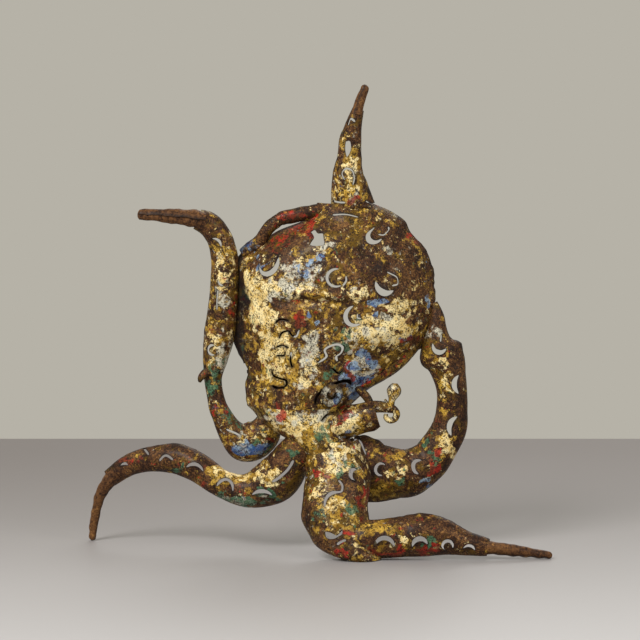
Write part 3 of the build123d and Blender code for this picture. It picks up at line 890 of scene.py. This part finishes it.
FOOT_ARM = [
    (28, -42, 19, 15, 18), (40, -42, 20, 18.5, 19.5), (54, -42, 20, 18.6, 20), (66, -42, 20.6, 19, 20),
    (82, -43, 22.5, 20, 19), (104, -44, 24.4, 21.3, 18), (122, -45, 22.3, 18.2, 15),
    (144, -45, 16.2, 12.1, 12), (167, -45.5, 12, 8.4, 8),
]
FOOT_ARM_CUTS = [
    Cut(63.5, 17, 10, 88, 190, gap=4.2, lift=5.5),
    Cut(98.5, 18, 8.5, 100, 190, gap=4.2, lift=5.5),
    Cut(126, 16, 6.5, 120, 290, gap=2.4, lift=5),
    Cut(147.5, 11, 6, 80, 170, gap=2.6, lift=1.5),
]
FOOT_ARM_PATCHES = {
    "gold": [(58, 31, 22, 9, 0.8), (70, 10, 22, 6, 0.5)],
    "cream": [(79, 24, 8, 7, 0.82), (100, 30, 20, 4, 0.4)],
    "green": [(110, 19, 5, 5, 1)],
    "red": [(60, 7, 26, 7, 0.66), (107, 12, 12, 4, 0.75)],
    "olive": [(55, 32, 24, 9, 0.8)],
    "bare": [(125, 30, 40, 12, 0.6), (150, 12, 24, 10, 0.5)],
}

RIGHT_LOOP_ARM = [
    (114, 12, 251, 2.5, 3), (116.5, 12, 238, 6.5, 7), (116.3, 12.5, 223, 10.6, 10), (117.4, 13, 209, 17, 13),
    (120, 13.5, 201.5, 22.2, 15), (126, 14, 189, 19, 15), (129.5, 14.5, 176, 16, 14.5),
    (131.8, 15, 163, 14.6, 14), (132.2, 16, 146, 15, 14), (129.5, 16, 123, 17, 15), (120, 16, 105, 18, 16),
    (106, 15, 87, 20.6, 16), (92, 13, 78.7, 23.2, 16), (76, 11, 77.5, 25.5, 16), (60, 9, 78, 28.8, 15),
    (44, 8, 81.3, 33.3, 15), (30, 9, 83, 34, 14),
]
RIGHT_LOOP_CUTS = [
    Cut(119, 207, 7.5, -108, 190, gap=5, lift=5.5),
    Slit([(121.5, 220), (120.5, 216), (120, 212)], 1.8),
    Cut(139.5, 169, 9, 178, 170, gap=4.6, lift=5.5),
    Cut(136, 126, 9.5, 163, 170, gap=5.2, lift=5.5),
    Cut(97.5, 86.5, 8, 165, 220, gap=5, lift=6),
    Cut(60, 84, 7, 160, 250, gap=3, lift=5.5),
    Opening([(27, 84), (30, 92), (38, 94), (43, 88), (43, 78), (37, 73), (30, 75)]),
    Opening([(30, 110), (35, 113.5), (39, 113), (44, 105), (45, 99), (41, 101), (36, 107)]),
]
RIGHT_LOOP_PATCHES = {
    "gold": [(112, 200, 9, 10, 0.7), (127, 168, 10, 14, 0.55), (122, 104, 18, 16, 0.6),
        (64, 62, 22, 8, 0.6), (74, 96, 22, 6, 0.7)],
    "cream": [(121, 193, 9, 9, 0.8), (128, 170, 9, 12, 0.5), (128, 106, 14, 14, 0.6),
        (78, 84, 16, 8, 0.5)],
    "white": [(112, 222, 8, 10, 0.5)],
    "green": [(112, 94, 8, 7, 0.85), (80, 76, 7, 5, 0.6), (100, 112, 8, 6, 0.6)],
    "blue": [(108, 72, 9, 6, 0.9)],
    "red": [(108, 87, 7, 9, 0.75), (118, 92, 6, 12, 0.6)],
    "olive": [(108, 206, 7, 12, 0.8), (66, 63, 26, 10, 1)],
    "bare": [(112, 232, 10, 16, 0.6), (138, 200, 9, 30, 0.7), (142, 130, 7, 40, 0.6),
        (90, 90, 10, 8, 0.4)],
}

SIPHON = [
    (10, -2, 128, 14, 14), (20, 0, 130.5, 16.5, 15), (31, -2, 133.5, 16, 14), (43, -5, 136.5, 14.8, 13),
    (51, -6, 138.5, 14.6, 13), (56.5, -7, 140, 12, 12),
]
SIPHON_PATCHES = {
    "gold": [(34, 132, 16, 10, 0.66), (24, 128, 24, 13, 0.85)],
    "cream": [(38, 146, 10, 5, 0.6), (18, 126, 18, 12, 0.9)],
    "white": [(30, 138, 12, 7, 0.5)],
    "blue": [(26, 118, 7, 5, 0.5)],
    "red": [(18, 137, 9, 5, 0.66), (26, 144, 7, 5, 0.7)],
    "olive": [(24, 128, 26, 14, 0.7)],
    "shade": [(55, 136, 3, 18, 0.6)],
    "bare": [(53, 136, 6, 14, 0.8), (47, 143, 10, 10, 0.6)],
}


# ---- shapes of the small pieces

EYE = (11.2, -25.2, 162.0)      # middle of the eye disc, on the face's front
EYE_RADIUS, EYE_DOME = 11.6, 2.2
EYE_TURN = math.radians(23)     # the disc looks a little to the right
EYE_PATCHES = {
    "gold": [(4, 170, 8, 7, 0.6)],
    "white": [(10, 162, 12, 12, 0.75)],
    "blue": [(20, 158, 7, 7, 0.7)],
    "red": [(14, 150, 7, 5, 0.5)],
}
PUPIL = Slit([(7.0, 165.5), (7.2, 161.5), (10.2, 159.4), (13.2, 161), (14, 164.5)], 3.2)
REAR_HUB = [
    (-41, 17, 243, 19, -8), (-41, 17, 222, 19, -8), (-46, 17, 206, 13, -7), (-44, 17, 192, 17, -8),
    (-24, 17, 179, 50, -14), (-17, 16, 160, 47, -16), (-8, 12, 130, 31, -14), (2, 7, 112, 28, -12),
]
LOWER_FOLD = [
    (100, 9, 215, 2.5, 2), (90, 6.5, 203, 4.5, 4.5), (77, 3.5, 191, 5.5, 5.5), (61, -0.5, 181, 6, 5.5),
    (48, -3.5, 173.5, 5.5, 5), (38, -6, 169, 3, 3),
]
SIDE_WALL = [
    (-68, 20, 303, 6, 4), (-78.5, 21, 288, 7, 4), (-81.5, 21, 262, 7, 4), (-81.5, 21, 234, 7, 4),
    (-80, 21, 211, 7, 4), (-72, 20, 190, 5, 3),
]
CURL_STEM = [(50, -6, 147.5, 6, 5), (58, -7, 148, 5.5, 5), (66, -8, 147.5, 5, 4.5), (72, -8, 146.5, 4, 4)]
CURL_LOBE = [
    (70, -7, 142, 3, 3), (70.5, -8, 150, 3, 3), (71.5, -8.5, 155.5, 3.1, 3), (72.5, -8.5, 159.5, 5.2, 4.5),
    (73.5, -8.5, 164, 6.9, 5), (74, -8.5, 168.5, 5.2, 4.2), (74.3, -8, 171.6, 2.2, 2),
]
CURL_HOOK = [
    (67, -7, 147.5, 3.5, 3), (73.5, -8, 145.5, 3.2, 3), (76.3, -8.5, 140.5, 3, 3), (74, -9, 135.7, 2.8, 3),
    (69, -9.5, 134.5, 2.6, 2.6), (65.3, -9.5, 138, 2.2, 2), (65.6, -9, 141, 1.4, 1.4),
]
CURL_SPIKE = [(69, -8, 148, 2.6, 2), (66, -8.5, 152, 1.8, 1.5), (64.3, -8.5, 155.5, 0.8, 0.8)]
SIPHON_STRAP = [
    (36, -9, 169, 2.8, 1.8), (41, -9, 163.5, 3.6, 2), (46, -8, 158, 3.8, 2.2), (50, -7, 151, 3.2, 2.2),
]
ARM_FLAP = [
    (-112, 6, 182, 4.5, 3), (-117, 4, 179, 3.6, 3), (-120.5, 3, 174.5, 2.2, 2), (-121, 3, 171.5, 0.8, 0.8),
]
TOP_TIP = [
    (36, -3.5, 442, 5.6), (37.6, -4, 449, 5.1), (40.8, -5, 459, 4.7), (43.4, -6, 466, 4.4),
    (44.4, -6, 470.3, 3.7),
]
UPPER_LEFT_TIP = [
    (-116, 2, 334, 9.0), (-124, 1, 335.5, 9.4), (-136, 0, 337.2, 8.6), (-156, -2, 339.3, 7.0),
    (-182, -3, 340.8, 5.2),
]
LOWER_LEFT_TIP = [
    (-206, 49.5, 73, 8.0), (-214, 52, 64.5, 7.2), (-220.5, 54.5, 54.5, 6.0), (-225, 57, 45, 5.2),
    (-228.6, 60.5, 29, 4.6), (-231.2, 63, 13, 3.9), (-232.6, 64, 0.9, 3.2),
]
FOOT_TIP = [
    (158, -48, 13.6, 7.4), (168, -48.5, 12.4, 6.7), (186, -48, 10.2, 5.9), (206, -46.5, 7.4, 4.9),
    (230.6, -44, 3.6, 3.4),
]
WELDS = {                       # node: middles of its beads
    "weld_top_arm": [(20, -1, 349), (32, -4, 349), (44, -1, 349)],
    "weld_top_arm_tip": [(38, -5.5, 447)],
    "weld_shoulder_strap": [(-68, 10, 305), (-13, 7, 339)],
    "weld_side_wall": [(-80.5, 16, 280), (-81.5, 16, 250), (-81, 16, 220)],
    "weld_lower_fold": [(99, 12, 206), (87, 11, 193), (69, 10, 178)],
    "weld_head": [(-51, -9.5, 145), (-21, -19.5, 145)],
    "weld_eye": [(10, -21.5, 162)],
    "weld_siphon": [(25.5, -2, 143), (27.5, -2, 117.5)],
    "weld_forked_curl": [(51.5, -7.5, 149.5)],
    "weld_upper_left_arm": [(-57, 8, 130)],
    "weld_upper_left_tip": [(-119.5, -1, 334)],
    "weld_lower_left_arm": [(-16, -11.5, 86), (-15, -8, 94)],
    "weld_lower_left_tip": [(-209, 48, 68.5)],
    "weld_front_leg": [(-15, -15, 111), (5, -22, 111), (25, -15, 111)],
    "weld_foot_arm": [(52, -41.5, 36), (52, -42.5, 4.5)],
    "weld_foot_tip": [(163, -51, 9.5), (163, -47, 17.5)],
    "weld_loop_top": [(109, 13, 222), (111, 12, 236)],
    "weld_loop_base": [(49, -11.5, 78)],
    "weld_rear_hub": [(-62, 16, 177), (28, 13, 150), (22, 11, 134), (31.5, 6, 111.5)],
}


class Disc:
    """Domed round plate with a Trough's methods, so that sheet() can cut and hammer it."""

    def __init__(self, middle, turn, radius, dome):
        self.middle, self.turn, self.radius, self.dome = np.array(middle), turn, radius, dome
        self.length = 2 * radius

    def half_arc(self, along):
        return np.sqrt(np.maximum(self.radius**2 - (along - self.radius) ** 2, 0.04))

    def place(self, along, across):
        up, right = self.radius - along, across
        rise = self.dome * (1 - (up**2 + right**2) / self.radius**2)
        cos, sin = math.cos(self.turn), math.sin(self.turn)
        points = self.middle + np.stack([right * cos + rise * sin, right * sin - rise * cos, up], axis=1)
        slope_up, slope_right = (2 * self.dome * v / self.radius**2 for v in (up, right))
        normals = np.stack([slope_right * cos + sin, slope_right * sin - cos, slope_up], axis=1)
        return points, normals / np.linalg.norm(normals, axis=1)[:, None]

    def find(self, x, z):
        right = (x - self.middle[0]) / math.cos(self.turn)
        return self.radius - (z - self.middle[2]), right, 0.0, -1.0


# ---- the pieces

def add_piece(name, parts, surface, node):
    """One finished piece on the only body, standing for its CAD node; surface is a material and its slot, and
    the slot is not used.
    """
    material, slot = surface
    piece = make_object(name, parts, material)
    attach(piece, "root")
    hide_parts(node)


def build_mantle():
    mantle = sheet(Trough(MANTLE, level=True), (MOTTLED, MANTLE_PATCHES), MANTLE_CUTS, seed=3,
                   bumps=MANTLE_BUMPS, large=1.5)
    strap = sheet(Trough(SHOULDER_STRAP), (BROWN, SHOULDER_STRAP_PATCHES), seed=5, large=0.5)
    head = sheet(Trough(HEAD, level=True), (MOTTLED, HEAD_PATCHES), HEAD_CUTS, seed=7, large=0.9)
    hem_coats = ({"olive": 0.9, "gold": 0.42, "red": 0.40, "cream": 0.1}, {})
    hem = sheet(Trough(LOWER_FOLD), hem_coats, seed=25, large=0.4)
    # painted shade: the side wall, which turns away from the light, is darkened close to black
    wall = sheet(Trough(SIDE_WALL), ({"shade": 0.5, "blue": 0.25}, {}), seed=27, large=0.5)
    add_piece("mantle_sheet", [mantle], PAINTED, "mantle_front_shell")
    add_piece("shoulder_strap_sheet", [strap], PAINTED, "shoulder_strap")
    add_piece("head_sheet", [head], PAINTED, "head_face_plate")
    add_piece("mantle_hem", [hem], PAINTED, "mantle_lower_fold")
    add_piece("mantle_side_sheet", [wall], DARK_SHEET, "mantle_side_wall")


def build_face():
    eye_coats = ({"white": 0.4, "gold": 0.3, "olive": 0.4}, EYE_PATCHES)
    eye = sheet(Disc(EYE, EYE_TURN, EYE_RADIUS, EYE_DOME), eye_coats, [PUPIL], seed=29, ragged=0.4,
                small=0.3, large=0.4, step=1.3)
    siphon = sheet(Trough(SIPHON), (MOTTLED, SIPHON_PATCHES), seed=21, large=1.0)
    strap = sheet(Trough(SIPHON_STRAP), (BROWN, {}), seed=31, ragged=0.1, small=0.1, large=0.1, step=1.2,
                  thickness=1)
    curl_coats = ({"gold": 0.45, "cream": 0.38, "white": 0.2, "olive": 0.3}, {"bare": [(60, 150, 6, 6, 0.4)]})
    curl = [sheet(Trough(stations), curl_coats, seed=33 + k, ragged=0.2, small=0.15, large=0.2, step=1.3,
                  thickness=1)
            for k, stations in enumerate((CURL_STEM, CURL_LOBE, CURL_HOOK, CURL_SPIKE))]
    add_piece("eye_plate", [eye], PAINTED, "eye_disc")
    add_piece("siphon_sheet", [siphon, strap], PAINTED, "siphon_tube")
    add_piece("forked_curl_sheet", curl, PAINTED, "forked_curl")


def build_arms():
    arms = [
        ("top_arm", Trough(TOP_ARM), MOTTLED, TOP_ARM_PATCHES, TOP_ARM_CUTS, 9),
        ("upper_left_arm", Trough(UPPER_LEFT_ARM), MOTTLED, UPPER_LEFT_PATCHES, UPPER_LEFT_CUTS, 11),
        ("lower_left_arm", Trough(LOWER_LEFT_ARM), BROWN, LOWER_LEFT_PATCHES, LOWER_LEFT_CUTS, 13),
        ("front_leg", Trough(FRONT_LEG, level=True), MOTTLED, FRONT_LEG_PATCHES, FRONT_LEG_CUTS, 15),
        ("foot_arm", Trough(FOOT_ARM), BROWN, FOOT_ARM_PATCHES, FOOT_ARM_CUTS, 17),
        ("right_loop_arm", Trough(RIGHT_LOOP_ARM), BROWN, RIGHT_LOOP_PATCHES, RIGHT_LOOP_CUTS, 19),
    ]
    for node, trough, base, patches, cuts, seed in arms:
        parts = [sheet(trough, (base, patches), cuts, seed=seed, large=0.9, step=STEP * 0.85)]
        if node == "upper_left_arm":
            parts.append(sheet(Trough(ARM_FLAP), (BROWN, {}), seed=37, ragged=0.2, small=0.1, large=0.2,
                               step=1.2))
        add_piece(node + "_sheet", parts, PAINTED, node)
    tips = [
        ("top_arm_tip", TOP_TIP, 60, 41), ("upper_left_arm_tip", UPPER_LEFT_TIP, 100, 43),
        ("lower_left_arm_tip", LOWER_LEFT_TIP, 20, 45), ("foot_arm_tip", FOOT_TIP, 150, 47),
    ]
    for node, stations, seam, seed in tips:
        add_piece(node + "_roll", [rolled(stations, (BROWN, {}), seed, seam)], TIP_RUST, node)


def build_rear():
    # painted shade: the rear hub is darkened so that the cuts in front of it show shade
    hub = sheet(Trough(REAR_HUB, level=True), ({"shade": 0.45}, {}), seed=51, large=0.9, step=STEP * 1.3)
    add_piece("rear_hub_sheet", [hub], DARK_SHEET, "rear_hub_plate")


def build_welds():
    for number, (node, centres) in enumerate(WELDS.items()):
        beads = [bead(centre, ({"shade": 0.2}, {}), 60 + number + k) for k, centre in enumerate(centres)]
        add_piece(node + "_beads", beads, WELD_METAL, node)


# ---- stage, light and camera, in metres

TABLE_WIDE, TABLE_NEAR, TABLE_FAR = 2.6, -5.2, 0.76     # half width, near edge and far edge
# painted shade: the table's tone, from pale at its near edge to dark at its far edge
TABLE_TONES = [(0.0, (0.49, 0.48, 0.48)), (0.45, (0.37, 0.355, 0.352)), (1.0, (0.20, 0.180, 0.174))]
WALL = (0.468, 0.445, 0.387)    # plain pale wall, which also gives the soft light from all sides
LAMPS = [                       # name, place, size and power
    ("key", (-1.3, -1.7, 2.0), 1.2, 74),
    ("fill", (1.8, -1.5, 1.3), 1.6, 19),
    ("rear", (0.6, 1.9, 1.8), 1.6, 16),
]
LIT_POINT = (0, 0, 0.2)
VIEW_POINT, VIEW_WIDTH = (-0.0005, 0.0, 0.2345), 0.640
CAMERA_DISTANCE, CAMERA_RISE = 5.0, math.radians(7.2)


def table_material():
    """Pale satin laminate with painted shade, which makes it a little darker towards its far edge."""
    graph = Graph("pale_table")
    coords = graph.node("ShaderNodeTexCoord").outputs["Object"]
    distance = graph.node("ShaderNodeSeparateXYZ", {0: coords}).outputs[1]
    grain = graph.noise(coords, 900, 2, 0.5)[0]
    value = graph.math("MULTIPLY_ADD", grain, 0.02, graph.step(distance, -1.1, TABLE_FAR))
    graph.link(graph.ramp(value, TABLE_TONES), graph.shader.inputs["Base Color"])
    graph.shader.inputs["Roughness"].default_value = 0.5
    return graph.material


def build_stage():
    """Table top."""
    mesh = bpy.data.meshes.new("table_top")
    corners = [(-TABLE_WIDE, TABLE_NEAR, 0), (TABLE_WIDE, TABLE_NEAR, 0), (TABLE_WIDE, TABLE_FAR, 0),
               (-TABLE_WIDE, TABLE_FAR, 0)]
    mesh.from_pydata(corners, [], [(0, 1, 2, 3)])
    mesh.materials.append(table_material())
    add_object("table_top", mesh)


def aim(thing, target):
    """Turns a lamp or camera to look at the target."""
    thing.rotation_euler = (Vector(target) - thing.location).to_track_quat("-Z", "Y").to_euler()


def build_lights():
    for name, spot, size, power in LAMPS:
        light = bpy.data.lights.new(name, "AREA")
        light.shape, light.size, light.energy = "DISK", size, power
        lamp = add_object(name, light)
        lamp.location = spot
        aim(lamp, LIT_POINT)
    world = bpy.data.worlds.new("studio")
    world.use_nodes = True
    world.node_tree.nodes["Background"].inputs["Color"].default_value = (*WALL, 1)
    bpy.context.scene.world = world


def build_camera():
    data = bpy.data.cameras.new("camera")
    data.angle = 2 * math.atan(VIEW_WIDTH / 2 / CAMERA_DISTANCE)
    camera = add_object("camera", data)
    camera.location = (VIEW_POINT[0], VIEW_POINT[1] - CAMERA_DISTANCE * math.cos(CAMERA_RISE),
                       VIEW_POINT[2] + CAMERA_DISTANCE * math.sin(CAMERA_RISE))
    aim(camera, VIEW_POINT)
    bpy.context.scene.camera = camera


build_mantle()
build_face()
build_arms()
build_rear()
build_welds()
build_stage()
build_lights()
build_camera()
bpy.context.scene.view_settings.view_transform = "Standard"
